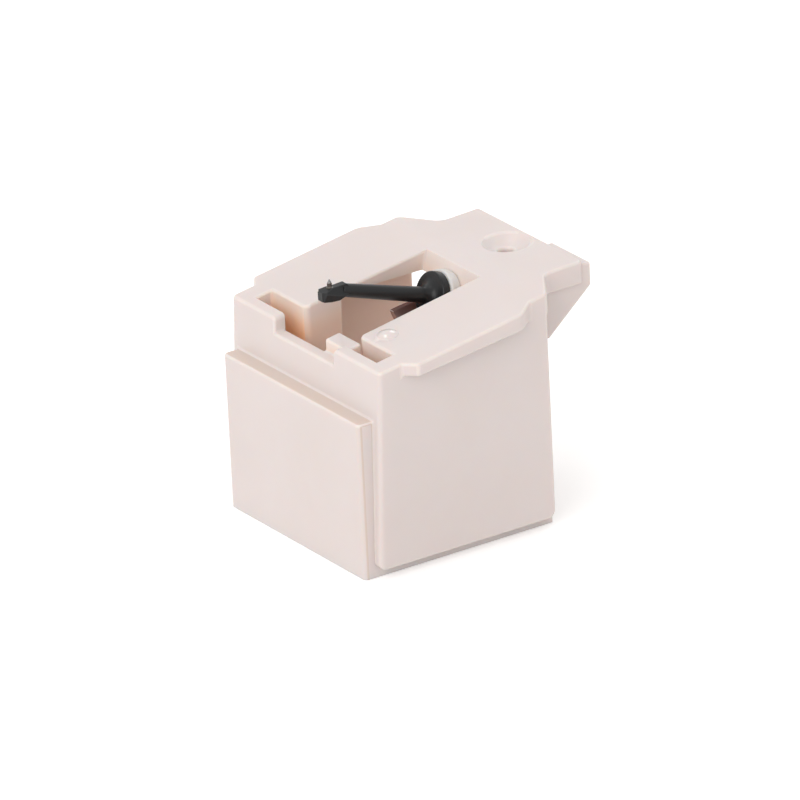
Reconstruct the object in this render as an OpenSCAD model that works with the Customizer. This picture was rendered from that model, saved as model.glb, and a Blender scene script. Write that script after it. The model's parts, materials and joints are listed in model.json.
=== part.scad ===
// Replaceable stylus assembly of a moving-magnet phono cartridge.
// It stands on its open rim with the needle up: x runs across the front, y from the front plate to the
// thumb tab, and z from the rim to the needle.

/* [Housing] */
// Width across the two side walls
body_w = 13; // [12.6:0.1:15]
// Length of a side wall from the top of the front wall to its rear edge
side_l = 9.9; // [9.6:0.05:11]
// Height of the front wall
front_h = 10.8; // [10.6:0.05:12]
// Slope of the top plate, rising towards the rear, in degrees
top_slope = 9.1; // [7.5:0.1:9.8]
// Lean of the front wall, which comes forward towards the rim, in degrees
front_lean = 2.6; // [1:0.1:3.5]
// Thickness of a side wall
side_wall = 1.2; // [0.9:0.05:1.4]
// How far a side wall stands proud of the inset rim
panel_proud = 0.55; // [0.45:0.05:0.7]
// Height of the inset rim that shows below the side walls
rim_h = 0.5; // [0.3:0.05:0.8]
// How far the rim reaches out behind the side walls
rim_out = 0.12; // [0.05:0.01:0.2]
// Thickness of the upper front wall
front_wall = 0.68; // [0.5:0.02:0.8]
// How far the underside of the top plate, where the cartridge body stops, lies above the top of the front wall
ceiling_rise = 0.4; // [0.2:0.05:0.5]
// Radius of the front wall's two leaning corners
corner_r = 0.25; // [0.15:0.05:0.4]
// Radius of the lower corners of a side wall
foot_r = 0.45; // [0.2:0.05:0.7]
// Length of the flare at the rear of the side walls' inner faces, which leads the cartridge body in
flare_l = 0.4; // [0.2:0.05:0.6]
// How far the flare opens at the rear edge
flare_out = 0.06; // [0.04:0.01:0.12]

/* [Front plate] */
// How far the ledge on top of the raised front plate lies below the top of the front wall
plate_drop = 2.6; // [2:0.05:3.5]
// How far the plate stands in front of the top of the front wall
plate_proud = 1.04; // [0.8:0.02:1.2]
// Radius of the plate's upright corners
plate_r = 0.25; // [0.1:0.05:0.4]
// Thickness of the wall behind the plate's face
plate_wall = 0.95; // [0.7:0.05:1.2]

/* [Top opening] */
// Width of the needle window
window_w = 4.66; // [4.5:0.02:4.9]
// Front end of the window, which is the rear side of the cross slot
window_front = 1.6; // [1.5:0.05:1.8]
// Corner radius at the front of the window
window_r = 0.35; // [0.1:0.05:0.5]
// Left end of the notch in the front wall, measured from the centre line
notch_left = 2.7; // [2:0.05:3]
// Right end of the notch
notch_right = 2.45; // [1.5:0.05:2.6]
// Depth of the notch
notch_depth = 0.8; // [0.6:0.05:1.1]
// Radius of the notch's two upper corners
notch_r = 0.25; // [0.1:0.05:0.25]
// Left side of the bridge block in the cross slot
block_left = 0.72; // [0.6:0.01:1]
// Width of the bridge block
block_w = 1.94; // [1.5:0.01:2.1]
// How far the bridge block lies below the top plate
block_drop = 0.27; // [0.26:0.01:0.5]
// Height of the bridge block
block_h = 1.3; // [0.8:0.05:2]
// Gap between the bridge block and the pillars
block_gap = 0.06; // [0.04:0.01:0.1]
// Rear side of the two corner pillars
pillar_rear = 3.7; // [3.2:0.05:4]
// Length of the pillars below the top plate
pillar_l = 5.2; // [3:0.1:6]

/* [Wings] */
// How far a wing reaches out from the side wall
wing_out = 0.73; // [0.5:0.01:1]
// Front end of a wing
wing_front = 1.3; // [1:0.05:2]
// Length of a wing's outer edge
wing_l = 6.15; // [5:0.05:6.5]
// Length of the short slope at the front of a wing
wing_lead = 0.5; // [0.3:0.05:0.8]
// Length of the slope at the rear of a wing
wing_tail = 0.95; // [0.6:0.05:1.2]
// Radius of the rear corner of a wing
wing_r = 0.8; // [0.3:0.05:1.2]
// Thickness of a wing at its front
wing_t = 0.66; // [0.5:0.02:0.9]
// Slope of the underside of a wing, in degrees
wing_slope = 6.8; // [5:0.1:8]

/* [Thumb tab] */
// Width of the thumb tab
tab_w = 9; // [8:0.05:9.6]
// Length of the tab behind the side walls
tab_l = 3.5; // [3.3:0.05:4.2]
// Slope of the tab's top, in degrees
tab_slope = 2.4; // [1:0.1:4]
// How far the tab's underside lies above that of the top plate
tab_rise = 0.1; // [0:0.05:0.3]
// Length of the slanted shoulders between the side walls and the tab
shoulder_l = 1.25; // [1.1:0.05:1.4]
// Radius of the hollow between a shoulder and the tab
shoulder_r = 0.7; // [0.3:0.05:0.9]
// Radius of the tab's rear corners
tab_r = 0.2; // [0.1:0.05:0.4]
// Radius of the thumb dimple
dimple_r = 1.25; // [0.9:0.05:1.35]
// Distance of the dimple's centre from the tab's rear edge
dimple_in = 1.45; // [1.4:0.05:1.7]
// Depth of the thumb dimple
dimple_depth = 0.5; // [0.3:0.05:0.6]
// Radius of the hole through the dimple
dimple_hole_r = 0.4; // [0.3:0.02:0.5]
// Left side of the tail gusset
gusset_left = 1; // [0.5:0.05:1.5]
// Width of the tail gusset
gusset_w = 3.3; // [2.5:0.05:3.4]
// How far the gusset reaches behind the tab
gusset_out = 0.62; // [0.4:0.01:0.8]
// How far the gusset's top lies below the tab
gusset_drop = 0.28; // [0.15:0.01:0.5]
// Height of the gusset's upright rear face
gusset_rear_h = 1.22; // [0.8:0.01:1.4]
// Height of the gusset below the tab's underside
gusset_h = 2.45; // [1.8:0.05:2.8]
// Distance of the gusset's front face from the side walls' rear edge
gusset_gap = 1.15; // [1:0.05:1.3]
// Length of the gusset's level foot
gusset_foot_l = 0.4; // [0.25:0.05:0.5]
// Width of the bevel on the front corner of the foot
gusset_bevel = 0.2; // [0.1:0.02:0.22]

/* [Moulding pip] */
// Distance of the pip from the centre line
pip_x = 3.45; // [3.2:0.05:4]
// Place of the pip along the housing
pip_y = 2.6; // [2.4:0.05:2.9]
// Radius of the pip
pip_r = 0.6; // [0.4:0.02:0.7]
// Height of the pip
pip_h = 0.22; // [0.1:0.02:0.3]

/* [Pivot and damper] */
// Angle between the lever and the rim, in degrees
lever_angle = 18; // [16:0.5:20]
// Place of the pivot along the housing
pivot_y = 8.02; // [7.9:0.02:8.1]
// How far the pivot lies below the underside of the top plate
pivot_drop = 0.52; // [0.44:0.02:0.6]
// Thickness of the damper ring
ring_t = 0.58; // [0.4:0.02:0.64]
// Outer radius of the damper ring
ring_r = 1.32; // [1.25:0.01:1.35]
// Radius of the damper ring's outer edges
ring_edge = 0.1; // [0.04:0.01:0.14]
// Gap between the damper ring and the stem of the lever
ring_gap = 0.06; // [0.04:0.01:0.1]
// Gap between the damper ring and the bore of the barrel
seat_gap = 0.1; // [0.05:0.01:0.15]
// How far the barrel's seat lies behind the window's rear face
seat_step = 0.03; // [0.02:0.01:0.05]
// Wall of the damper barrel
barrel_wall = 0.23; // [0.2:0.01:0.3]
// How far below the pivot the level cut lies that leaves the barrel's front lip
lip_drop = 0.48; // [0.4:0.01:0.6]
// How far the lip reaches in front of the pivot
lip_l = 2.05; // [1.8:0.05:2.2]
// Length of the barrel behind the damper seat
barrel_l = 2.75; // [2.7:0.05:3.2]
// Thickness of the seat wall behind the damper ring
seat_wall = 0.6; // [0.5:0.05:0.8]
// Thickness of the barrel's rear wall
barrel_end = 0.5; // [0.4:0.05:0.6]

/* [Lever] */
// Distance from the pivot to the top of the tip block's front face
lever_l = 7.32; // [7.15:0.01:7.5]
// Radius of the arm behind the tip block
arm_tip_r = 0.335; // [0.31:0.005:0.36]
// Radius of the arm in front of the flange
arm_root_r = 0.4; // [0.37:0.005:0.43]
// How far the arm reaches into the tip block
arm_set = 0.3; // [0.2:0.02:0.35]
// Radius of the trumpet flange
flange_r = 1.2; // [1.1:0.01:1.22]
// Length of the flange's straight rim
flange_rim = 0.33; // [0.25:0.01:0.4]
// Radius of the rounded shoulder of the flange
flange_round = 0.1; // [0.05:0.01:0.15]
// Radius of the hollow curve between the arm and the flange
flange_hollow = 0.5; // [0.3:0.01:0.55]
// Gap between the flange and the damper ring
flange_gap = 0.03; // [0.03:0.01:0.1]
// Radius of the stem behind the flange
stem_r = 0.44; // [0.42:0.01:0.46]

/* [Tip block] */
// Length of the tip block
block_l = 1.5; // [1.47:0.01:1.6]
// Width of the tip block across its side ridges
block_ridge_w = 0.84; // [0.7:0.02:0.9]
// Width of the tip block's top
block_top_w = 0.4; // [0.34:0.02:0.5]
// Width of the tip block's underside
block_foot_w = 0.44; // [0.3:0.02:0.5]
// How far the side ridges lie below the lever's line
ridge_low = 0.2; // [0.1:0.02:0.25]
// Height above the lever's line at which the side slopes meet the top's upright sides
shelf_h = 0.15; // [0.12:0.01:0.2]
// Width of the upright front face
nose_w = 0.2; // [0.14:0.02:0.3]
// Length over which the sides run together towards the front face
nose_l = 0.17; // [0.1:0.01:0.3]
// How far the top edge of the front face lies below the lever's line
nose_top = 0.2; // [0.12:0.01:0.3]
// How far the front end of the underside's line lies below the lever's line
nose_low = 0.7; // [0.64:0.01:0.8]
// Distance of the needle seat from the front edge
seat_in = 0.5; // [0.47:0.01:0.55]
// Height of the needle seat above the lever's line
seat_h = 0.11; // [0.1:0.01:0.14]
// Distance of the saddle behind the needle from the front edge
saddle_in = 0.86; // [0.81:0.01:0.93]
// Height of the saddle
saddle_h = 0.22; // [0.19:0.01:0.26]
// Distance of the hump from the front edge
hump_in = 1.32; // [1.23:0.01:1.38]
// Height of the hump
hump_h = 0.4; // [0.37:0.01:0.45]
// How far the hump falls to the end of the block
hump_fall = 0.1; // [0.08:0.01:0.15]
// Length of the straight part of the underside
keel_l = 0.76; // [0.68:0.01:0.83]
// How far the end of the straight part lies below the lever's line
keel_low = 0.57; // [0.52:0.01:0.59]
// Distance of the underside's heel from the front edge
heel_in = 1.09; // [1.03:0.01:1.15]
// How far the heel lies below the lever's line
heel_low = 0.46; // [0.42:0.01:0.5]
// Length of the slope from the heel up to the arm
heel_l = 0.14; // [0.1:0.01:0.2]
// How far that slope rises
heel_rise = 0.16; // [0.15:0.01:0.25]

/* [Stylus] */
// Radius of the metal shank
shank_r = 0.12; // [0.1:0.005:0.14]
// How far the shank stands out of the tip block
shank_out = 0.19; // [0.15:0.01:0.25]
// How deep the shank sits in the tip block
shank_set = 0.3; // [0.25:0.01:0.35]
// Radius of the diamond's base
diamond_r = 0.1; // [0.08:0.005:0.1]
// Length of the diamond's straight base
diamond_base = 0.06; // [0.04:0.01:0.08]
// Length of the diamond's cone
diamond_cone = 0.17; // [0.15:0.01:0.22]
// Radius of the diamond's polished point
point_r = 0.018; // [0.012:0.001:0.02]

/* [Magnets and wire] */
// Side of a square bar magnet
magnet_s = 0.45; // [0.4:0.01:0.46]
// Length of a bar magnet
magnet_l = 1.2; // [1:0.05:1.25]
// Distance from the stem's centre line to its two flats
flat_in = 0.33; // [0.32:0.01:0.36]
// Angle between a magnet and the upright plane, in degrees
magnet_angle = 45; // [42:1:48]
// Gap between the magnets and the seat wall
magnet_gap = 0.12; // [0.1:0.01:0.15]
// Radius of the suspension wire
wire_r = 0.05; // [0.04:0.005:0.055]
// Radius of the wire ferrule
ferrule_r = 0.25; // [0.2:0.01:0.3]
// Length of the wire ferrule
ferrule_l = 0.62; // [0.55:0.01:0.7]

/* [Hidden] */
arc_fn = 64;
small_fn = 32;
// Overlap that a cut or a joined block has past the surface it meets
over = 0.2;
cream = [0.9, 0.855, 0.825];
black = [0.16, 0.16, 0.17];
// Heights above the rim
ceiling_h = front_h + ceiling_rise;
plate_h = front_h - plate_drop;
pillar_foot = ceiling_h - pillar_l;
tab_under = ceiling_h + tab_rise;
gusset_foot = tab_under - gusset_h;
pivot_z = ceiling_h - pivot_drop;
lip_h = pivot_z - lip_drop;
// Inner half width of the housing, which the cross slot shares
room_x = body_w / 2 - side_wall;
rim_x = body_w / 2 - panel_proud;
plate_y = -plate_proud;
tab_end = side_l + tab_l;
gusset_end = tab_end + gusset_out;
wing_end = wing_front + wing_lead + wing_l;
wing_x = body_w / 2 + wing_out;
// The whole part is moved forward by this, so that its origin lies under the middle of its box
middle_y = (plate_y + gusset_end) / 2;
big = 40;
// Angle that the lever swings through, with its margin
swing = 5.3;
// Places along the lever's axis, measured from the pivot towards the rear
ring_front = -ring_t / 2;
seat_s = ring_t / 2;
flange_rear = ring_front - flange_gap;
flange_front = flange_rear - flange_rim - flange_round;
barrel_s = seat_s + seat_step;
chamber_s = barrel_s + seat_wall;
chamber_end = barrel_s + barrel_l - barrel_end;
magnet_s0 = chamber_s + magnet_gap;
stem_end = magnet_s0 + magnet_l;
block_s = -lever_l;
nose_y = pivot_y + block_s * cos(lever_angle) - nose_top * sin(lever_angle);
// Radii about the lever's axis
ring_in = stem_r + ring_gap;
barrel_in = ring_r + seat_gap;
barrel_out = barrel_in + barrel_wall;
stem_play = 0.18;
magnet_play = 0.34;
chamber_r = norm([flat_in + magnet_s, magnet_s / 2]) + magnet_play;
// Clearance that opens a slot in the barrel past a magnet's sides
pole_gap = 0.1;
// Clearances around the wire, at its end in the stem, around the ferrule and around the shank
wire_play = 0.02;
wire_end_gap = 0.06;
ferrule_gap = 0.01;
shank_gap = 0.01;
// Slope of a shoulder of the top plate, in degrees
shoulder_turn = atan2(shoulder_l, (body_w - tab_w) / 2);
// Slope of the rear of a wing against its outer edge, in degrees
wing_turn = atan2(wing_out, wing_tail);
// The needle's foot, where the shank stands on the floor of its hole
needle_y = pivot_y + (block_s + seat_in) * cos(lever_angle) + seat_h * sin(lever_angle);
needle_z = pivot_z - (block_s + seat_in) * sin(lever_angle) + seat_h * cos(lever_angle) - shank_set;

// Height of the top plate's surface at a place along the housing
function top_z(y) = front_h + y * tan(top_slope);
// Height of the tab's surface
function tab_z(y) = top_z(side_l) + (y - side_l) * tan(tab_slope);
// Place of the front wall's outer face at a height
function front_y(z) = (z - front_h) * tan(front_lean);
// Place of the damper seat's face, which is square to the lever, at a height
function seat_y(z) = pivot_y + seat_s / cos(lever_angle) + (z - pivot_z) * tan(lever_angle);

// Moves what is drawn in housing coordinates to the part's own frame
module in_frame() translate([0, -middle_y, 0]) children();

// Extrudes a side outline, whose points are [y, z], to both sides of the plane x = at
module across(width, at = 0) translate([at, 0, 0]) rotate([90, 0, 90]) linear_extrude(width, center = true) children();

// Draws children in the lever's own frame: the pivot is the origin and z runs along the lever to the rear
module on_lever() translate([0, pivot_y, pivot_z]) rotate([-90 - lever_angle, 0, 0]) children();

// Waste outside an arc about the origin, from the x axis through an angle, for rounding an outer corner
module turn_waste(r, turn) {
    far = r + over;
    difference() {
        polygon([[0, 0], [far, 0], [far, far * tan(turn / 2)], [far * cos(turn), far * sin(turn)]]);
        circle(r, $fn = arc_fn);
    }
}

// Waste outside an arc of radius r, for a square corner at the origin with its arc's centre at [r, r]
module corner_waste(r) {
    difference() {
        translate([-over, -over]) square(r + over);
        translate([r, r]) circle(r, $fn = arc_fn);
    }
}

// Side outline of the housing above its rim
module outer_side() {
    polygon([
        [front_y(rim_h), rim_h], [front_y(front_h), front_h], [side_l, top_z(side_l)], [side_l, rim_h]
    ]);
}

// Side outline of one proud side wall, with its rounded lower corners
module panel_side() {
    difference() {
        outer_side();
        translate([front_y(rim_h), rim_h]) corner_waste(foot_r);
        translate([side_l, rim_h]) mirror([1, 0]) corner_waste(foot_r);
    }
}

// The proud outer walls above the rim, with the rounded corners of the leaning front wall
module outer_walls() {
    difference() {
        across(body_w) panel_side();
        for (side = [0, 1]) mirror([side, 0, 0])
            translate([-body_w / 2, 0, front_h]) rotate([-front_lean, 0, 0])
                linear_extrude(big, center = true) corner_waste(corner_r);
    }
}

// The inset rim and the raised front plate, which are one box narrower than the side walls
module rim_and_plate() {
    translate([0, plate_y, 0]) linear_extrude(plate_h) difference() {
        translate([-rim_x, 0]) square([2 * rim_x, plate_proud + over]);
        for (side = [0, 1]) mirror([side, 0]) translate([-rim_x, 0]) corner_waste(plate_r);
    }
    translate([-rim_x, 0, 0]) cube([2 * rim_x, side_l + rim_out, rim_h + over]);
}

// Hollow corner of radius shoulder_r between a shoulder and the side of the tab
module shoulder_fillet() {
    foot = [tab_w / 2, side_l + shoulder_l];
    centre = foot + shoulder_r * [1, (1 - sin(shoulder_turn)) / cos(shoulder_turn)];
    difference() {
        polygon([
            foot - [over, over], [foot[0], centre[1]], centre,
            centre - shoulder_r * [sin(shoulder_turn), cos(shoulder_turn)]
        ]);
        translate(centre) circle(shoulder_r, $fn = arc_fn);
    }
}

// Right half of the top plate's plan: wing, slanted shoulder and half of the thumb tab
module half_plan() {
    hx = body_w / 2;
    tx = tab_w / 2;
    front = wing_front - over;
    difference() {
        union() {
            polygon([
                [-over, front], [hx, front], [hx, wing_front], [wing_x, wing_front + wing_lead],
                [wing_x, wing_end], [hx, wing_end + wing_tail], [hx, side_l],
                [tx, side_l + shoulder_l], [tx, tab_end], [-over, tab_end]
            ]);
            shoulder_fillet();
        }
        translate([tx, tab_end]) rotate(180) corner_waste(tab_r);
        translate([wing_x - wing_r, wing_end - wing_r * tan(wing_turn / 2)]) turn_waste(wing_r, wing_turn);
    }
}

// Plan of the top plate
module top_plan() {
    half_plan();
    mirror([1, 0]) half_plan();
}

// Side outline of the top plate between the ceiling and its sloping surface
module plate_side() {
    polygon([
        [wing_front - over, plate_h], [wing_front - over, top_z(wing_front - over)],
        [side_l, top_z(side_l)], [tab_end, tab_z(tab_end)], [tab_end, tab_under],
        [side_l + gusset_gap, tab_under], [side_l, ceiling_h]
    ]);
}

// Side outline of the wings, whose underside slopes less than the top plate
module wing_side() {
    wing_z = top_z(wing_front) - wing_t;
    rear = wing_end + wing_tail;
    polygon([
        [wing_front - over, wing_z - over * tan(wing_slope)], [wing_front - over, top_z(wing_front - over)],
        [rear, top_z(rear)], [rear, wing_z + (rear - wing_front + over) * tan(wing_slope)]
    ]);
}

module top_plate() {
    intersection() {
        across(body_w) plate_side();
        linear_extrude(big) top_plan();
    }
    intersection() {
        across(2 * wing_x) wing_side();
        linear_extrude(big) top_plan();
    }
}

// Room for the cartridge body: open at the rim and at the rear, under the ceiling
module room() {
    across(2 * room_x) polygon([
        [plate_y + plate_wall, -over], [plate_y + plate_wall, plate_h - plate_wall],
        [front_wall, plate_h], [front_wall, ceiling_h], [gusset_end, ceiling_h], [gusset_end, -over]
    ]);
    for (side = [0, 1]) mirror([side, 0, 0])
        translate([0, 0, -over]) linear_extrude(ceiling_h + over) polygon([
            [room_x - over, side_l - flare_l], [room_x, side_l - flare_l], [room_x + flare_out, side_l],
            [room_x + flare_out, side_l + over], [room_x - over, side_l + over]
        ]);
}

// What stays in the room: the two corner pillars beside the window
module pillars() {
    pillar_w = room_x - window_w / 2 + over;
    for (side = [-1, 1])
        across(pillar_w, side * (window_w + pillar_w) / 2) polygon([
            [window_front, pillar_foot], [window_front, top_z(window_front)],
            [pillar_rear, top_z(pillar_rear)], [pillar_rear, pillar_foot]
        ]);
}

// The T-shaped opening: cross slot, needle window and the notch in the front wall
module top_opening() {
    across(2 * room_x) polygon([
        [front_wall, plate_h], [front_wall, big], [window_front, big], [window_front, plate_h]
    ]);
    across(window_w) polygon([
        [front_wall + over, ceiling_h - over], [front_wall + over, big],
        [seat_y(big), big], [seat_y(ceiling_h - over), ceiling_h - over]
    ]);
    for (side = [0, 1]) mirror([side, 0, 0])
        translate([window_w / 2, window_front, pillar_foot - over]) linear_extrude(big) corner_waste(window_r);
}

// Notch in the front wall, through which the needle is seen, with its two rounded upper corners
module notch() {
    translate([-notch_left, front_y(0) - over, top_z(0) - notch_depth])
        cube([notch_left + notch_right, front_wall - front_y(0) + over, big]);
    translate([0, 0, front_h]) rotate([90 + top_slope, 0, 0])
        translate([0, 0, -front_wall - over]) linear_extrude(front_wall + 2 * over) {
            translate([notch_right, 0]) mirror([0, 1]) corner_waste(notch_r);
            translate([-notch_left, 0]) rotate(180) corner_waste(notch_r);
        }
}

// Block that bridges the cross slot behind the front wall
module bridge_block() {
    front = front_wall - over;
    rear = window_front - block_gap;
    foot = top_z(front_wall) - block_drop - block_h;
    across(block_w, block_left + block_w / 2) polygon([
        [front, foot], [front, top_z(front) - block_drop], [rear, top_z(rear) - block_drop], [rear, foot]
    ]);
}

// Slanted fin under the right rear of the tab, which reaches out behind it
module gusset() {
    top = tab_z(tab_end) - gusset_drop;
    front = side_l + gusset_gap;
    across(gusset_w, gusset_left + gusset_w / 2) polygon([
        [front, tab_under + over], [front, gusset_foot + gusset_bevel], [front + gusset_bevel, gusset_foot],
        [front + gusset_foot_l, gusset_foot], [gusset_end, top - gusset_rear_h], [gusset_end, top],
        [tab_end - over, top]
    ]);
}

// Inclined barrel for the damper. In front of the seat only the lip below a level cut is left.
module barrel() {
    reach = pivot_y;
    difference() {
        on_lever() translate([0, 0, -lip_l]) cylinder(r = barrel_out, h = lip_l + barrel_s + barrel_l, $fn = arc_fn);
        intersection() {
            on_lever() translate([-reach, -reach, barrel_s - 2 * reach]) cube(2 * reach);
            translate([-reach, -reach, lip_h]) cube(3 * reach);
        }
        barrel_bores(reach);
        pole_slots();
    }
}

// What the barrel leaves open: damper bore, stem hole, magnet chamber and ferrule hole
module barrel_bores(reach) {
    on_lever() {
        translate([0, 0, barrel_s - 2 * reach]) cylinder(r = barrel_in, h = 2 * reach, $fn = arc_fn);
        translate([0, 0, barrel_s - over]) cylinder(r = stem_r + stem_play, h = seat_wall + 2 * over, $fn = arc_fn);
        translate([0, 0, chamber_s]) cylinder(r = chamber_r, h = chamber_end - chamber_s, $fn = arc_fn);
        translate([0, 0, chamber_end - over])
            cylinder(r = ferrule_r + ferrule_gap, h = barrel_end + 2 * over, $fn = arc_fn);
    }
}

// Openings in the lower side of the barrel, through which the cartridge's poles face the magnets
module pole_slots() {
    on_lever() for (side = [-1, 1])
        rotate([0, 0, side * magnet_angle])
            translate([-magnet_s / 2 - pole_gap, 0, chamber_s + pole_gap])
                cube([magnet_s + 2 * pole_gap, barrel_out + over, chamber_end - chamber_s - 2 * pole_gap]);
}

// Thumb dimple with its round edge and the hole through its floor
module dimple() {
    cy = tab_end - dimple_in;
    ball = (dimple_r * dimple_r + dimple_depth * dimple_depth) / (2 * dimple_depth);
    translate([0, cy, tab_z(cy) - dimple_depth + ball]) sphere(ball, $fn = arc_fn);
    translate([0, cy, tab_under - over]) cylinder(r = dimple_hole_r, h = big, $fn = arc_fn);
}

// Small clear button that the mould's gate leaves on the right pillar
module pip() {
    ball = (pip_r * pip_r + pip_h * pip_h) / (2 * pip_h);
    intersection() {
        translate([pip_x, pip_y, top_z(pip_y) + pip_h - ball]) sphere(ball, $fn = arc_fn);
        translate([pip_x, pip_y, top_z(pip_y) - over]) cylinder(r = pip_r + over, h = big, $fn = arc_fn);
    }
}

module housing() {
    color(cream) in_frame() {
        difference() {
            union() {
                difference() {
                    union() {
                        outer_walls();
                        rim_and_plate();
                        top_plate();
                    }
                    room();
                    top_opening();
                    dimple();
                }
                difference() {
                    pillars();
                    top_opening();
                }
                gusset();
                bridge_block();
            }
            notch();
        }
        pip();
        barrel();
    }
}

// Outline of the arm, the trumpet flange and the stem, as [radius, place on the axis]
module lever_outline() {
    arm_start = block_s + block_l - arm_set;
    hollow = min(flange_hollow, flange_r - flange_round - arm_root_r);
    polygon(concat(
        [[0, arm_start], [arm_tip_r, arm_start]],
        [for (a = [0 : 10 : 90]) [arm_root_r + hollow * (1 - cos(a)), flange_front - hollow * (1 - sin(a))]],
        [for (a = [15 : 15 : 90]) [flange_r - flange_round * (1 - sin(a)),
                                   flange_front + flange_round * (1 - cos(a))]],
        [[flange_r, flange_rear], [stem_r, flange_rear], [stem_r, stem_end], [0, stem_end]]
    ));
}

// Side outline of the tip block, as [distance below the lever's line, place on the axis]
module block_side() {
    polygon([
        [nose_low, block_s - over], [nose_top + over * (nose_top + seat_h) / seat_in, block_s - over],
        [-seat_h, block_s + seat_in],
        [-saddle_h, block_s + saddle_in], [-hump_h, block_s + hump_in],
        [hump_fall - hump_h, block_s + block_l], [0, block_s + block_l],
        [heel_low - heel_rise, block_s + heel_in + heel_l], [heel_low, block_s + heel_in],
        [keel_low, block_s + keel_l]
    ]);
}

// Six-sided section of the tip block, as [sideways, distance below the lever's line]
module block_section() {
    for (side = [0, 1]) mirror([side, 0]) polygon([
        [-over, -hump_h - over], [block_top_w / 2, -hump_h - over], [block_top_w / 2, -shelf_h],
        [block_ridge_w / 2, ridge_low], [block_foot_w / 2, nose_low], [block_foot_w / 2, nose_low + over],
        [-over, nose_low + over]
    ]);
}

// Plan of the tip block, seen from above, with its narrow front face
module block_plan() {
    for (side = [0, 1]) mirror([side, 0]) polygon([
        [-over, nose_y], [nose_w / 2, nose_y], [block_ridge_w / 2, nose_y + nose_l],
        [block_ridge_w / 2 + over, nose_y + nose_l], [block_ridge_w / 2 + over, pivot_y], [-over, pivot_y]
    ]);
}

// Tip block, which the side outline, the six-sided section and the plan shape together
module tip_block() {
    intersection() {
        on_lever() across(2 * block_ridge_w) block_side();
        on_lever() translate([0, 0, block_s - over]) linear_extrude(block_l + 2 * over) block_section();
        translate([0, 0, pivot_z]) linear_extrude(big) block_plan();
    }
}

// Hollow in the stem, which widens so that the lever swings clear of the fixed wire
module wire_hollow() {
    tip_r = wire_r + wire_play;
    translate([0, 0, -wire_end_gap])
        cylinder(r1 = tip_r, r2 = tip_r + (stem_end + over) * tan(swing), h = wire_end_gap + stem_end + over,
                 $fn = arc_fn);
}

// Two flats at the end of the stem, on which the magnets sit
module stem_flats() {
    for (side = [-1, 1])
        rotate([0, 0, side * magnet_angle])
            translate([-stem_r, flat_in, magnet_s0]) cube([2 * stem_r, stem_r, magnet_l + over]);
}

module cantilever() {
    color(black) in_frame() difference() {
        union() {
            on_lever() rotate_extrude($fn = arc_fn) lever_outline();
            tip_block();
        }
        on_lever() wire_hollow();
        on_lever() stem_flats();
        translate([0, needle_y, needle_z]) cylinder(r = shank_r + shank_gap, h = big, $fn = small_fn);
    }
}

module stylus_shank() {
    color("goldenrod") in_frame() translate([0, needle_y, needle_z])
        cylinder(r = shank_r, h = shank_set + shank_out, $fn = small_fn);
}

// Diamond: a short round base, a cone and a polished round point
module diamond_tip() {
    top = diamond_base + diamond_cone;
    color("lightcyan") in_frame() translate([0, needle_y, needle_z + shank_set + shank_out])
        rotate_extrude($fn = small_fn) polygon(concat(
            [[0, 0], [diamond_r, 0], [diamond_r, diamond_base]],
            [for (a = [22.5 : 22.5 : 90]) [point_r * cos(a), top - point_r * (1 - sin(a))]]
        ));
}

// Rubber ring with rounded outer edges
module damper_ring() {
    color("gainsboro") in_frame() on_lever() rotate_extrude($fn = arc_fn) polygon(concat(
        [[ring_in, seat_s], [ring_in, ring_front]],
        [for (a = [0 : 22.5 : 90]) [ring_r - ring_edge * (1 - sin(a)), ring_front + ring_edge * (1 - cos(a))]],
        [for (a = [0 : 22.5 : 90]) [ring_r - ring_edge * (1 - cos(a)), seat_s - ring_edge * (1 - sin(a))]]
    ));
}

module magnet(side) {
    color("dimgray") in_frame() on_lever() rotate([0, 0, side * magnet_angle])
        translate([-magnet_s / 2, flat_in, magnet_s0]) cube([magnet_s, magnet_s, magnet_l]);
}

module magnet_left() {
    magnet(1);
}

module magnet_right() {
    magnet(-1);
}

module suspension_wire() {
    color("silver") in_frame() on_lever()
        cylinder(r = wire_r, h = chamber_end + ferrule_l, $fn = small_fn);
}

module wire_ferrule() {
    color("gold") in_frame() on_lever() translate([0, 0, chamber_end]) difference() {
        cylinder(r = ferrule_r, h = ferrule_l, $fn = small_fn);
        translate([0, 0, -over]) cylinder(r = wire_r + ferrule_gap, h = ferrule_l + 2 * over, $fn = small_fn);
    }
}

housing();
cantilever();
stylus_shank();
diamond_tip();
damper_ring();
magnet_left();
magnet_right();
suspension_wire();
wire_ferrule();
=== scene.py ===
# %% [markdown]
# # A replaceable stylus assembly, needle up
# The object is the part of a phono cartridge that the owner pulls off and renews: a cream moulding about
# 14 mm across, open at its rim and its rear, with a black lever in a rubber ring. Its solids were built
# exactly and packed, and come in as a fixed frame. This script dresses them: it rounds their edges, adds the
# cement at the needle's foot, and gives every piece its surface. What it adds is placed from the frame.

# %% Load the frame
import json
from math import radians, sin, cos, tan, pi

import bmesh
import bpy
from mathutils import Vector, Matrix


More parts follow.
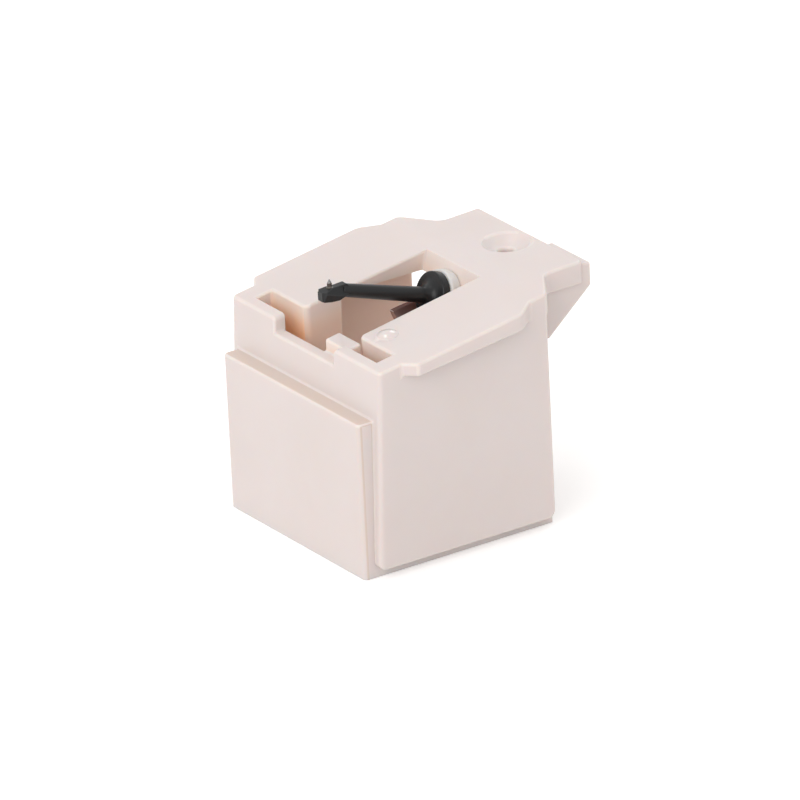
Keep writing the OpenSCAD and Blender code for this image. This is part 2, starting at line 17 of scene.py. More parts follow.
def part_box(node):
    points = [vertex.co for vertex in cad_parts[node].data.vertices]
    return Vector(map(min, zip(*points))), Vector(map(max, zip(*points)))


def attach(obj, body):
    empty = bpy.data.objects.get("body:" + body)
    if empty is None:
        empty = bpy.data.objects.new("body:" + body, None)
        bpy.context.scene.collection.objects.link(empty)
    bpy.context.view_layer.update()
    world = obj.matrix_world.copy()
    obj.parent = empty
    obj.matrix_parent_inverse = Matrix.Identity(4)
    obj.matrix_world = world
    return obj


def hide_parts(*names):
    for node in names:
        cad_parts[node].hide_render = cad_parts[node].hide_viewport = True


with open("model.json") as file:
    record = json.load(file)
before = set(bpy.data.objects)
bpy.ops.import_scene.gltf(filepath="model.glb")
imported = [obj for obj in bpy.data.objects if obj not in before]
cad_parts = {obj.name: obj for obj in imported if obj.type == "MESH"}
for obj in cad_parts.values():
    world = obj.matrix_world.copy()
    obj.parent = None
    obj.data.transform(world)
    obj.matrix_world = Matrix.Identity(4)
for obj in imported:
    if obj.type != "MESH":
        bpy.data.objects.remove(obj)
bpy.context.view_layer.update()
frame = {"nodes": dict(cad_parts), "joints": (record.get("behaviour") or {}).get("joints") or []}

nodes = frame["nodes"]
print("nodes:", sorted(nodes))

# %% [markdown]
# ## Units and the lever's own frame
# The frame is in metres, but the part is small, so sizes are written in millimetres and turned to metres by
# one factor. The lever leans at 18 degrees, and whatever is round about it is easiest to find in its own
# frame: the pivot is the origin, Z runs along the lever to the rear, and X stays across the housing.

# %% Sizes that the pieces share
MM = 0.001
LEVER_LEAN = 18
PIVOT = Vector(frame["joints"][0]["pos_m"])
lever_frame = Matrix.Translation(PIVOT) @ Matrix.Rotation(radians(-90 - LEVER_LEAN), 4, "X")
into_lever = lever_frame.inverted()
print("pivot in mm:", [round(c / MM, 2) for c in PIVOT])


def in_lever(point):
    """A point in millimetres of the frame, seen in the lever's frame."""
    return (into_lever @ (Vector(point) * MM)) / MM


# %% [markdown]
# ## The housing
# A moulded part has no knife edges. Its mould was cut with small tools and polished, so every edge turns over
# a radius of a tenth of a millimetre or two, and that strip is what catches the light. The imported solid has
# true edges, and its mesh is loose triangles.
#
# A Bevel modifier could round them. By its angle limit it would take every sharp edge, also those without
# room, and its weights would have to be worked out for each edge in any case. So the mesh is copied into a
# bmesh, its doubles are merged, its flat faces are joined into large ones, and chosen edges are bevelled
# there. The work is done in millimetres, because the operators' own tolerances are too coarse for lengths in
# metres this small.
#
# ### Slivers
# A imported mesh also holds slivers: triangles whose three corners lie almost on one line. They have no plane
# of their own, so a flat face that is joined through one can fold. The operator for degenerate geometry works
# by merging corners, so it can tilt the faces beside them. Turning the long edge of each sliver into its
# neighbour removes it and leaves the surface where it was.

# %% Remove slivers
def join_slivers(shape, height=0.0005, rounds=12):
    """Turns the longest edge of every triangle that is lower than a height, until none is left."""
    for _ in range(rounds):
        thin = []
        for face in shape.faces:
            longest = max(face.edges, key=lambda e: e.calc_length())
            if len(face.verts) == 3 and 2 * face.calc_area() < height * longest.calc_length():
                thin.append((face, longest))
        if not thin:
            break
        for face, edge in thin:
            if face.is_valid and edge.is_valid and len(edge.link_faces) == 2 and face in edge.link_faces[:]:
                bmesh.utils.edge_rotate(edge)
    shape.normal_update()


# %% [markdown]
# ### A clean copy
# Merging the doubles brings the loose triangles together at their corners. Then every edge between faces of
# one plane is dissolved, and a flat wall is one face again, as it was in the solid. The narrow strips of a
# curved face turn by more than the limit, so they stay.

# %% Copy the housing and join its flat faces
def merged_copy(node, distance=0.004, flat=0.6):
    """A bmesh of a CAD node, in millimetres, with its doubles merged and its flat faces joined."""
    shape = bmesh.new()
    shape.from_mesh(nodes[node].data)
    bmesh.ops.scale(shape, vec=Vector((1, 1, 1)) / MM, verts=shape.verts)
    bmesh.ops.remove_doubles(shape, verts=shape.verts, dist=distance)
    join_slivers(shape)
    bmesh.ops.dissolve_limit(shape, angle_limit=radians(flat), verts=shape.verts, edges=shape.edges)
    return shape


housing_shape = merged_copy("housing")
triangles = len(nodes["housing"].data.polygons)
print("housing:", triangles, "triangles joined to", len(housing_shape.faces), "faces")

# %% [markdown]
# ### Which edges are rounded, and how widely
# The outer edges get the wide rounding. The edges of the rim, which meets the cartridge, and those of the
# barrel round the rubber ring are finer. At the foot of the front plate the solid has a rounded corner of
# its own, so nothing is bevelled there. Where the thumb tab begins, the top plate folds by a few degrees, and
# this fold is rounded with the rest.

# %% Tell the edges apart
RIM_BAND = 0.05
FOOT_Y, FOOT_Z = -6.65, 0.95
BARREL_R, BARREL_FRONT = 1.75, -2.6
FOLD_AREA = 5


def middle_of(edge):
    return (edge.verts[0].co + edge.verts[1].co) / 2


def off_axis(near):
    """Distance from the lever's axis of a point that is seen in the lever's frame."""
    return Vector((near.x, near.y)).length


def on_barrel(edge):
    near = in_lever(middle_of(edge))
    return off_axis(near) < BARREL_R and near.z > BARREL_FRONT


def on_rim(edge):
    return max(v.co.z for v in edge.verts) < RIM_BAND


def at_plate_foot(edge):
    middle = middle_of(edge)
    return middle.y < FOOT_Y and middle.z < FOOT_Z


def is_fine(edge):
    return on_barrel(edge) or on_rim(edge)


def is_outer(edge):
    return not (is_fine(edge) or at_plate_foot(edge))


def is_fold(edge):
    return all(face.calc_area() > FOLD_AREA for face in edge.link_faces)


print("edges on the barrel:", sum(on_barrel(edge) for edge in housing_shape.edges))

# %% [markdown]
# ### Which edges have room
# A bevel takes a strip as wide as itself from the face on each side. Where two strips meet, or a face is
# narrower than its strip, the mesh folds over itself and shows dark creases. The bevel operator can clamp its
# width to avoid this, but then one short edge would thin the rounding everywhere. So the edges are measured,
# and they are taken from the top down, where the part is seen, as long as there is room beside those already
# taken.

# %% Choose the edges of the housing
WIDE = 0.13
SHARP_TURN, FOLD_TURN = 25, 3


def sharp_edges(shape, turn, wanted):
    """The edges of a bmesh that turn by more than an angle in degrees and that wanted(edge) accepts."""
    return [e for e in shape.edges
            if len(e.link_faces) == 2 and e.calc_face_angle(0) > radians(turn) and wanted(e)]


def side_gap(edge, other, steps=6, ahead=0.7, none=10):
    """The smallest distance of points along one edge from another edge that lies beside it, not ahead."""
    a, b = (v.co for v in edge.verts)
    c, d = (v.co for v in other.verts)
    along = (b - a).normalized()
    gaps = []
    for p in [a.lerp(b, i / steps) for i in range(steps + 1)]:
        t = max(0.0, min(1.0, (p - c).dot(d - c) / max((d - c).length_squared, 1e-12)))
        gap = c.lerp(d, t) - p
        if abs(gap.dot(along)) < ahead * gap.length:
            gaps.append(gap.length)
    return min(gaps, default=none)


def face_reach(edge, face):
    """How far a face reaches from one of its edges, measured square to the edge."""
    start, along = edge.verts[0].co, (edge.verts[1].co - edge.verts[0].co).normalized()
    offsets = [v.co - start for v in face.verts]
    return max((o - o.dot(along) * along).length for o in offsets)


def edges_with_room(edges, width):
    """The edges, from the top down, whose bevels don't run into one another or off a face."""
    reach, room, shared_room = 1.2 * width, 1.1 * width, 2.1 * width
    candidates, taken = set(edges), set()
    for edge in sorted(edges, key=lambda e: -sum(v.co.z for v in e.verts)):
        if min(face_reach(edge, face) for face in edge.link_faces) < reach:
            continue
        near = [other for face in edge.link_faces for other in face.edges
                if other in candidates and other is not edge and not set(other.verts) & set(edge.verts)]
        if all(side_gap(edge, other) > (shared_room if other in taken else room) for other in near):
            taken.add(edge)
    return list(taken)


folds = [e for e in sharp_edges(housing_shape, FOLD_TURN, is_fold)
         if e.calc_face_angle(0) < radians(SHARP_TURN)]
sharp = sharp_edges(housing_shape, SHARP_TURN, is_outer)
wide = edges_with_room(sharp, WIDE)
print("folds:", len(folds), "sharp edges:", len(sharp), "with room:", len(wide))

# %% [markdown]
# ### Bevel the edges
# The wide strips have four segments, because the light on them spreads over a few pixels. The fine ones are
# hardly seen as strips, and two are enough. The strips are cut without sliding along loops, because at the
# rounded corner of the thumb tab the sliding threw out a spike.
#
# The new faces are marked in an attribute on their corners, so that a material can paint a highlight on the
# edges: a lighter colour on the rounded strips, as where they catch the light. The strip along the shallow
# fold isn't marked: it belongs to the flat top.

# %% Round the housing
NARROW = 0.035
FINE_TURN = 40
MIDDLE_Y = 6.49
SIDE_L, ROOM_X = 9.9, 5.35


def round_edges(shape, edges, width, segments=3):
    """Bevels edges of a bmesh in millimetres and returns the new faces."""
    made = bmesh.ops.bevel(shape, geom=edges, offset=width, offset_type="OFFSET", segments=segments,
                           profile=0.5, affect="EDGES", clamp_overlap=False, loop_slide=False, material=-1,
                           miter_outer="SHARP", miter_inner="SHARP")
    return made["faces"]


def mark_faces(shape, faces, value, name="edge_highlight"):
    """Writes a value to an attribute on the corners of some faces."""
    layer = shape.loops.layers.float.get(name) or shape.loops.layers.float.new(name)
    for face in faces:
        if face.is_valid:
            for corner in face.loops:
                corner[layer] = value


def is_fold_strip(face):
    middle = face.calc_center_median()
    return face.normal.z > 0.97 and abs(middle.y + MIDDLE_Y - SIDE_L) < 0.3 and abs(middle.x) < ROOM_X


rounded = round_edges(housing_shape, wide + folds, WIDE, segments=4)
mark_faces(housing_shape, [face for face in rounded if not is_fold_strip(face)], 1.0)
fine = edges_with_room(sharp_edges(housing_shape, FINE_TURN, is_fine), NARROW)
mark_faces(housing_shape, round_edges(housing_shape, fine, NARROW, segments=2), 1.0)
print("fine edges:", len(fine), "faces now:", len(housing_shape.faces))

# %% [markdown]
# ### Places that look different
# The whole moulding is one material, and marks on its mesh tell the material where its surface changes and
# where light or shade is painted on it:
#
# - the bore of the barrel in front of the ring, and the cut end of its lip, get painted shade, a dark brown;
# - the moulding pip on the right wing is glossier than the rest;
# - the front plate's ledge and narrow sides get painted shade, a little darker than its face;
# - the inner faces get painted light, a warm glow, which the next step explains.
#
# Painting such masks by hand is the other way. Marks that follow from where a face lies and which way it
# looks stay right when the mesh changes.

# %% Mark the painted shade in the bore and on the ledge, and the pip
FRONT_H, TOP_SLOPE, LEDGE_H = 10.8, 9.1, 8.2
RIM_X = 5.95
BORE_R, BORE_END = 1.5, 0.3
LIP_FRONT, LIP_BACK = -2.2, -1.98
PIP, PIP_R = Vector((3.45, -3.89)), 0.66


def top_z(y):
    """Height of the top plate's surface at a place along the part."""
    return FRONT_H + (y + MIDDLE_Y) * tan(radians(TOP_SLOPE))


# The bore in front of the ring and the lip's cut end are marked for painted shade.
def is_bore(face):
    near = in_lever(face.calc_center_median())
    outward = into_lever.to_3x3() @ face.normal
    faces_axis = outward.x * near.x + outward.y * near.y < -0.5 * off_axis(near)
    return faces_axis and off_axis(near) < BORE_R and BARREL_FRONT < near.z < BORE_END


def is_lip_end(face):
    near = in_lever(face.calc_center_median())
    forward = (into_lever.to_3x3() @ face.normal).z < -0.9
    return forward and off_axis(near) < BARREL_R + 0.05 and LIP_FRONT < near.z < LIP_BACK


def is_pip(face):
    middle = face.calc_center_median()
    above = middle.z > top_z(middle.y) + 0.01
    return above and (middle.xy - PIP).length < PIP_R and face.normal.z > 0.8


# The ledge and the plate's narrow sides are marked for painted shade.
def is_ledge(face):
    middle, normal = face.calc_center_median(), face.normal
    ledge = abs(middle.z - LEDGE_H) < 0.1 and normal.z > 0.9
    side = abs(abs(middle.x) - RIM_X) < 0.05 and abs(normal.x) > 0.9
    return middle.y + MIDDLE_Y < -0.1 and (ledge or side)


for mark, wanted, value in (("bore_shade", is_bore, 1.0), ("bore_shade", is_lip_end, 0.85),
                            ("pip_gloss", is_pip, 0.7), ("ledge_shade", is_ledge, 1.0)):
    chosen = [face for face in housing_shape.faces if wanted(face)]
    mark_faces(housing_shape, chosen, value, mark)
    print(mark, "on", len(chosen), "faces")

# %% [markdown]
# ### The warm inner faces
# Light that reaches the inner faces has passed through the thin cream walls or bounced between them, and it
# has turned orange on its way. It is strongest in the left end of the cross slot. So the faces there get the
# full mark, and those in the rest of the slot, in the window and in the room below get about half of it. How
# the mark becomes a colour is left to the material.

# %% Mark the warm inner faces
SLOT_START, SLOT_END = 0.66, 1.62
SLOT_LEFT = -2


def warmth(face):
    """How warm a face glows: most in the left of the cross slot, less in the window and the room."""
    middle, normal = face.calc_center_median(), face.normal
    along = middle.y + MIDDLE_Y
    if abs(middle.x) > ROOM_X or along > SIDE_L or along < SLOT_START or normal.z > 0.7:
        return 0.0
    if along < SLOT_END:
        return 1.0 if middle.x < SLOT_LEFT else 0.5
    return 0.45


for face in housing_shape.faces:
    mark_faces(housing_shape, [face], warmth(face), "warm_glow")
print("warm faces:", sum(warmth(face) > 0 for face in housing_shape.faces))

# %% [markdown]
# ### Normals
# Smooth shading alone leans the normals of a large flat face towards the bevels round it, and the face looks
# dented. A Weighted Normal modifier mends this in the editor. Here the same is worked out once and stored:
# each corner's normal is the mean of the faces round it that turn little, weighted by their area, so that
# the flat face wins. The large faces stay whole, because triangles cut from them would show in the light.

# %% Corner normals
def weighted_normals(mesh, turn):
    """Corner normals that lean to the larger faces, so that flat faces beside a bevel look flat."""
    limit = cos(radians(turn))
    around = [[] for _ in mesh.vertices]
    for face in mesh.polygons:
        for index in face.vertices:
            around[index].append(face.index)
    normals = [face.normal.copy() for face in mesh.polygons]
    areas = [face.area for face in mesh.polygons]
    corners = [None] * len(mesh.loops)
    for face in mesh.polygons:
        for loop in face.loop_indices:
            total = Vector()
            for other in around[mesh.loops[loop].vertex_index]:
                if normals[other].dot(normals[face.index]) > limit:
                    total += normals[other] * areas[other]
            corners[loop] = total.normalized() if total.length > 0 else normals[face.index]
    mesh.normals_split_custom_set(corners)


# %% [markdown]
# ### Handing a piece over
# A finished shape goes back from millimetres to metres and becomes an object. It rides on its body and takes
# the place of the CAD node that it was copied from. That node stays, but it is no longer seen.

# %% Turn a shape into a piece
def finish_piece(name, shape, body, smooth=38):
    """Turns a bmesh in millimetres into an object in metres that rides on a body."""
    mesh = bpy.data.meshes.new(name)
    shape.to_mesh(mesh)
    shape.free()
    mesh.shade_smooth()
    weighted_normals(mesh, smooth)
    mesh.transform(Matrix.Scale(MM, 4))
    piece = bpy.data.objects.new(name, mesh)
    bpy.context.scene.collection.objects.link(piece)
    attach(piece, body)
    print(f"{name}: {len(mesh.polygons)} faces")
    return piece


housing_piece = finish_piece("housing_moulding", housing_shape, "housing")
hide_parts("housing")

# %% [markdown]
# ## The lever
# The lever is one black moulding that carries the needle at its tip and flares to a flange in front of the
# rubber ring. Its round parts come smooth from the solid. Only the tip block and the flange's rim need their
# edges taken off, a third as wide as on the housing, because the block is only 1.5 mm long.

# %% Round the lever
LEVER_EDGE = 0.04
FLANGE_BACK = -0.3


def ahead_of_ring(edge):
    return in_lever(edge.verts[0].co).z < FLANGE_BACK


lever_shape = merged_copy("cantilever")
lever_edges = edges_with_room(sharp_edges(lever_shape, SHARP_TURN, ahead_of_ring), LEVER_EDGE)
mark_faces(lever_shape, round_edges(lever_shape, lever_edges, LEVER_EDGE, segments=3), 1.0)
lever_piece = finish_piece("lever_moulding", lever_shape, "lever")
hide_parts("cantilever")

# %% [markdown]
# ## Magnets and ferrule
# The bar magnets on the lever's stem are ground and plated, and the ferrule that holds the suspension wire is
# turned from brass. Both trades break a sharp edge by a few hundredths of a millimetre, so the same function
# serves both, with its own width for each.

# %% Break their edges
MAGNET_EDGE, FERRULE_EDGE = 0.03, 0.025


def broken_edges(node, name, body, width):
    """A copy of a CAD node with its sharp edges broken, in its place."""
    shape = merged_copy(node)
    edges = edges_with_room(sharp_edges(shape, FINE_TURN, lambda edge: True), width)
    mark_faces(shape, round_edges(shape, edges, width, segments=2), 1.0)
    piece = finish_piece(name, shape, body)
    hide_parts(node)
    return piece


magnet_pieces = [broken_edges(node, node.replace("magnet", "bar_magnet"), "lever", MAGNET_EDGE)
                 for node in ("magnet_left", "magnet_right")]
ferrule_piece = broken_edges("wire_ferrule", "ferrule_sleeve", "housing", FERRULE_EDGE)

# %% [markdown]
# ## Cement at the foot of the needle
# The metal shank is cemented into the tip block. The cement creeps up the shank and out over the block in a
# small collar with a hollow side. A bevelled cone would look too hard for something that flowed, so the side
# is drawn as a quarter curve and the profile is turned about the shank's axis with the spin operator.

# %% Cement collar
SHANK_OUT, SHANK_R = 0.19, 0.12
SUNK, OVERLAP = 0.08, 0.01
shank_low, shank_high = (Vector(c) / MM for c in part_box("stylus_shank"))
foot = Vector(((shank_low.x + shank_high.x) / 2, (shank_low.y + shank_high.y) / 2, shank_high.z - SHANK_OUT))
print("foot of the shank:", [round(c, 3) for c in foot])


def collar(radius, reach, height, steps, turns):
    """A turned collar whose side is a hollow quarter curve from the shank out to the block's surface."""
    shape = bmesh.new()
    profile = [shape.verts.new((radius - OVERLAP, 0, -SUNK)), shape.verts.new((radius + reach, 0, -SUNK))]
    for i in range(steps + 1):
        a = pi / 2 * i / steps
        profile.append(shape.verts.new((radius + reach * (1 - sin(a)), 0, height * (1 - cos(a)))))
    profile.append(shape.verts.new((radius - OVERLAP, 0, height)))
    rim = [shape.edges.new((a, b)) for a, b in zip(profile, profile[1:] + profile[:1])]
    bmesh.ops.spin(shape, geom=profile + rim, cent=(0, 0, 0), axis=(0, 0, 1), angle=2 * pi, steps=turns,
                   use_merge=True)
    bmesh.ops.remove_doubles(shape, verts=shape.verts, dist=0.0005)
    bmesh.ops.recalc_face_normals(shape, faces=shape.faces)
    bmesh.ops.translate(shape, vec=foot, verts=shape.verts)
    return shape


cement_shape = collar(SHANK_R, reach=0.06, height=0.06, steps=6, turns=40)
cement_piece = finish_piece("needle_cement", cement_shape, "lever")

# %% [markdown]
# ## Shader node groups
# Several materials share the same kinds of mark: clouds of tint, grain, scuffs, dust, fine lines. A node
# group holds them once, with named sockets for what differs, and puts out a colour, a roughness and a height.
# The Principled BSDF stays in the material itself. A group could be drawn by hand in the editor. Here a few
# short helpers build it, so that each of its values can be read and changed in the text.

# %% Start a group
COLOUR, FLOAT, VECTOR = "NodeSocketColor", "NodeSocketFloat", "NodeSocketVector"


def new_group(name, inputs):
    """A shader node group with named inputs and the three outputs, its input node and its output node."""
    tree = bpy.data.node_groups.new(name, "ShaderNodeTree")
    for socket, kind, value in inputs:
        tree.interface.new_socket(socket, in_out="INPUT", socket_type=kind).default_value = value
    for socket, kind in (("Colour", COLOUR), ("Roughness", FLOAT), ("Height", FLOAT)):
        tree.interface.new_socket(socket, in_out="OUTPUT", socket_type=kind)
    return tree, tree.nodes.new("NodeGroupInput"), tree.nodes.new("NodeGroupOutput")


# %% Nodes that work on values
def plug(tree, source, target):
    """Links a socket to an input, or sets the input where the source is a number or a colour."""
    if isinstance(source, bpy.types.NodeSocket):
        tree.links.new(source, target)
    else:
        target.default_value = source


def maths(tree, operation, a, b=0.0, clamp=False):
    node = tree.nodes.new("ShaderNodeMath")
    node.operation, node.use_clamp = operation, clamp
    plug(tree, a, node.inputs[0])
    plug(tree, b, node.inputs[1])
    return node.outputs[0]


def remap(tree, value, low, high, to_low, to_high):
    """The value, moved from one range to another and held at its ends."""
    node = tree.nodes.new("ShaderNodeMapRange")
    for source, target in zip((value, low, high, to_low, to_high), node.inputs):
        plug(tree, source, target)
    return node.outputs[0]


def mix(tree, factor, a, b):
    node = tree.nodes.new("ShaderNodeMix")
    node.data_type = "RGBA"
    for source, socket in zip((factor, a, b), (0, 6, 7)):
        plug(tree, source, node.inputs[socket])
    return node.outputs[2]


def attribute(tree, name):
    node = tree.nodes.new("ShaderNodeAttribute")
    node.attribute_name = name
    return node.outputs["Fac"]


# %% [markdown]
# ### Patterns in millimetres
# Object coordinates are in metres, so a pattern on them would need scales in the thousands. The first helper
# turns them to millimetres: a noise scale of 3 then means three features to a millimetre. Generated
# coordinates would stretch with the box of each piece, and a UV map would need seams, so neither is used.

# %% Patterns
def millimetres(tree, stretch=(1, 1, 1)):
    """Object coordinates in millimetres, stretched along the axes."""
    coords = tree.nodes.new("ShaderNodeTexCoord")
    scale = tree.nodes.new("ShaderNodeVectorMath")
    scale.operation = "MULTIPLY"
    tree.links.new(coords.outputs["Object"], scale.inputs[0])
    scale.inputs[1].default_value = [s / MM for s in stretch]
    return scale.outputs[0]


def noise(tree, vector, scale, detail=2.0, roughness=0.5, distortion=0.0):
    node = tree.nodes.new("ShaderNodeTexNoise")
    tree.links.new(vector, node.inputs["Vector"])
    node.inputs["Scale"].default_value = scale
    node.inputs["Detail"].default_value = detail
    node.inputs["Roughness"].default_value = roughness
    node.inputs["Distortion"].default_value = distortion
    return node.outputs["Fac"]


# %% [markdown]
# ### Moulded plastic
# What makes plastic look moulded and not painted: clouds of slightly different tint, from the way in which it
# flowed and cooled; a soft unevenness, like orange peel but flatter; a fine grain from the mould's polish;
# and a few scuffs along the direction in which the part is pulled off. On top of these, the marked edge
# strips get a painted highlight: a lighter colour, as where rounded edges catch the light.

# %% Group for moulded plastic
moulded, given, made = new_group(
    "moulded_plastic",
    [("Colour", COLOUR, (0.8, 0.8, 0.8, 1)), ("Cloud Colour", COLOUR, (0.7, 0.7, 0.7, 1)),
     ("Edge Highlight Colour", COLOUR, (0.9, 0.9, 0.9, 1)), ("Edge Highlight Amount", FLOAT, 0.3), ("Roughness", FLOAT, 0.4),
     ("Scuffs", FLOAT, 0.1)])
position = millimetres(moulded)
clouds = remap(moulded, noise(moulded, position, 0.16, 3.0, 0.55, 0.4), 0.35, 0.7, 0.0, 1.0)
peel = noise(moulded, position, 1.9, 2.0, 0.45)
grain = noise(moulded, position, 24.0, 3.0, 0.6)
scuffs = noise(moulded, millimetres(moulded, (7.0, 0.5, 7.0)), 1.0, 4.0, 0.6, 0.3)
scuffs = maths(moulded, "MULTIPLY", remap(moulded, scuffs, 0.6, 0.72, 0.0, 1.0), given.outputs["Scuffs"])
# Painted highlight: the marked edge strips are mixed towards the lighter edge colour.
edge = maths(moulded, "MULTIPLY", attribute(moulded, "edge_highlight"), given.outputs["Edge Highlight Amount"])
edge = maths(moulded, "MULTIPLY", edge, remap(moulded, peel, 0.3, 0.7, 0.5, 1.0))
tint = mix(moulded, clouds, given.outputs["Colour"], given.outputs["Cloud Colour"])
tint = mix(moulded, edge, tint, given.outputs["Edge Highlight Colour"])
gloss = maths(moulded, "ADD", given.outputs["Roughness"], remap(moulded, grain, 0.3, 0.7, -0.05, 0.05))
gloss = maths(moulded, "ADD", gloss, remap(moulded, clouds, 0.0, 1.0, -0.03, 0.03))
gloss = maths(moulded, "ADD", gloss, maths(moulded, "MULTIPLY", scuffs, 0.5), clamp=True)
height = maths(moulded, "ADD", peel, maths(moulded, "MULTIPLY", grain, 0.12))
height = maths(moulded, "SUBTRACT", height, maths(moulded, "MULTIPLY", scuffs, 0.4))
for source, target in zip((tint, gloss, height), made.inputs):
    moulded.links.new(source, target)
print(moulded.name, "has", len(moulded.nodes), "nodes")

# %% [markdown]
# ### Rubber
# The ring is a pale gum. Rubber is dull, takes up dust in soft patches, and yellows unevenly as it ages, and
# its skin has fine pores. Each of these is one noise at its own scale.

# %% Group for rubber
rubber, given, made = new_group(
    "gum_rubber",
    [("Colour", COLOUR, (0.7, 0.7, 0.7, 1)), ("Old Colour", COLOUR, (0.6, 0.55, 0.5, 1)),
     ("Dust Colour", COLOUR, (0.8, 0.8, 0.8, 1)), ("Roughness", FLOAT, 0.5)])
position = millimetres(rubber)
ageing = remap(rubber, noise(rubber, position, 0.9, 3.0, 0.6), 0.4, 0.75, 0.0, 0.7)
dust = remap(rubber, noise(rubber, position, 6.0, 5.0, 0.7), 0.52, 0.7, 0.0, 0.6)
pores = noise(rubber, position, 16.0, 3.0, 0.7)
tint = mix(rubber, ageing, given.outputs["Colour"], given.outputs["Old Colour"])
tint = mix(rubber, dust, tint, given.outputs["Dust Colour"])
gloss = maths(rubber, "ADD", given.outputs["Roughness"], maths(rubber, "MULTIPLY", dust, 0.3), clamp=True)
height = maths(rubber, "ADD", pores, maths(rubber, "MULTIPLY", dust, 0.5))
for source, target in zip((tint, gloss, height), made.inputs):
    rubber.links.new(source, target)
print(rubber.name, "has", len(rubber.nodes), "nodes")

# %% [markdown]
# ### Metal
# Drawn, turned and ground metal all show fine lines in one direction. A noise that is squeezed along the
# other directions gives such lines, and the group takes the squeeze from a vector, so that each piece can
# have its own. Tarnish in spots is added, and the marked edge strips get a painted highlight, a lighter
# colour.

# %% Group for metal
metal, given, made = new_group(
    "worked_metal",
    [("Colour", COLOUR, (0.7, 0.7, 0.7, 1)), ("Tarnish Colour", COLOUR, (0.4, 0.35, 0.3, 1)),
     ("Edge Highlight Colour", COLOUR, (0.9, 0.9, 0.9, 1)), ("Roughness", FLOAT, 0.3), ("Stretch", VECTOR, (1, 1, 1))])
position = millimetres(metal)
stretched = metal.nodes.new("ShaderNodeVectorMath")
stretched.operation = "MULTIPLY"
metal.links.new(position, stretched.inputs[0])
metal.links.new(given.outputs["Stretch"], stretched.inputs[1])
lines = noise(metal, stretched.outputs[0], 14.0, 3.0, 0.7)
spots = remap(metal, noise(metal, position, 5.0, 4.0, 0.65), 0.5, 0.72, 0.0, 0.8)
# Painted highlight: the marked edge strips are mixed towards the lighter edge colour.
edge = maths(metal, "MULTIPLY", attribute(metal, "edge_highlight"), 0.5)
tint = mix(metal, spots, given.outputs["Colour"], given.outputs["Tarnish Colour"])
tint = mix(metal, edge, tint, given.outputs["Edge Highlight Colour"])
gloss = maths(metal, "ADD", given.outputs["Roughness"], remap(metal, lines, 0.3, 0.7, -0.08, 0.1))
gloss = maths(metal, "ADD", gloss, maths(metal, "MULTIPLY", spots, 0.2), clamp=True)
for source, target in zip((tint, gloss, lines), made.inputs):
    metal.links.new(source, target)
print(metal.name, "has", len(metal.nodes), "nodes")

# %% [markdown]
# ## Materials
# Every material starts the same way: a group feeds the base colour and the roughness of a Principled BSDF,
# and its height feeds a Bump node of a few micrometres. Real displacement would need a mesh as fine as the
# grain, and at this size only the light on the grain is seen, not its outline. What is special to a material
# is added to that.

# %% Build a material round a group
def surface_of(name, group, values, bump):
    """A material whose Principled BSDF takes colour, roughness and bump from a group. bump is in metres."""
    material = bpy.data.materials.new(name)
    material.use_nodes = True
    tree = material.node_tree
    surface = tree.nodes["Principled BSDF"]
    marks = tree.nodes.new("ShaderNodeGroup")
    marks.node_tree = group
    for socket, value in values.items():
        marks.inputs[socket].default_value = value
    relief = tree.nodes.new("ShaderNodeBump")
    relief.inputs["Strength"].default_value = 1.0
    relief.inputs["Distance"].default_value = bump
    tree.links.new(marks.outputs["Colour"], surface.inputs["Base Color"])
    tree.links.new(marks.outputs["Roughness"], surface.inputs["Roughness"])
    tree.links.new(marks.outputs["Height"], relief.inputs["Height"])
    tree.links.new(relief.outputs["Normal"], surface.inputs["Normal"])
    return material, tree, surface, marks


# %% [markdown]
# ### Cream plastic of the housing
# The cream is slightly translucent: red light travels further in it than blue, which softens the edges. Some
# subsurface scattering gives that. The strong orange deep inside comes from light that has passed a whole
# wall, and scattering could give it only with walls of the true clearness and far more samples. So it is set
# by colour: the marked faces turn warmer with their depth under the top plate's surface, first cream, then
# orange, and fade again far down, where the open rim lets daylight in.

# %% Cream plastic and its warm depth
SHALLOW_GLOW, DEEP_GLOW = (1.0, 0.84, 0.70, 1), (0.95, 0.57, 0.35, 1)
cream, tree, surface, marks = surface_of(
    "cream_plastic", moulded,
    {"Colour": (0.742, 0.662, 0.640, 1), "Cloud Colour": (0.728, 0.642, 0.612, 1),
     "Edge Highlight Colour": (0.87, 0.79, 0.73, 1), "Edge Highlight Amount": 0.4, "Roughness": 0.36, "Scuffs": 0.12}, bump=4e-6)
surface.inputs["Subsurface Weight"].default_value = 0.3
surface.inputs["Subsurface Radius"].default_value = (1.0, 0.5, 0.3)
surface.inputs["Subsurface Scale"].default_value = 0.0008
apart = tree.nodes.new("ShaderNodeSeparateXYZ")
tree.links.new(millimetres(tree), apart.inputs[0])
along = maths(tree, "ADD", apart.outputs["Y"], MIDDLE_Y)
rise = maths(tree, "MULTIPLY", along, tan(radians(TOP_SLOPE)))
depth = maths(tree, "SUBTRACT", maths(tree, "ADD", rise, FRONT_H), apart.outputs["Z"])
glow = maths(tree, "MULTIPLY", attribute(tree, "warm_glow"), remap(tree, depth, 0.0, 1.0, 0.35, 1.0))
glow = maths(tree, "MULTIPLY", glow, remap(tree, depth, 5.0, 9.0, 1.0, 0.35))
warm = mix(tree, remap(tree, depth, 0.1, 1.5, 0.0, 1.0), SHALLOW_GLOW, DEEP_GLOW)
glowing = mix(tree, glow, marks.outputs["Colour"], warm)
print(cream.name, "has", len(tree.nodes), "nodes so far")
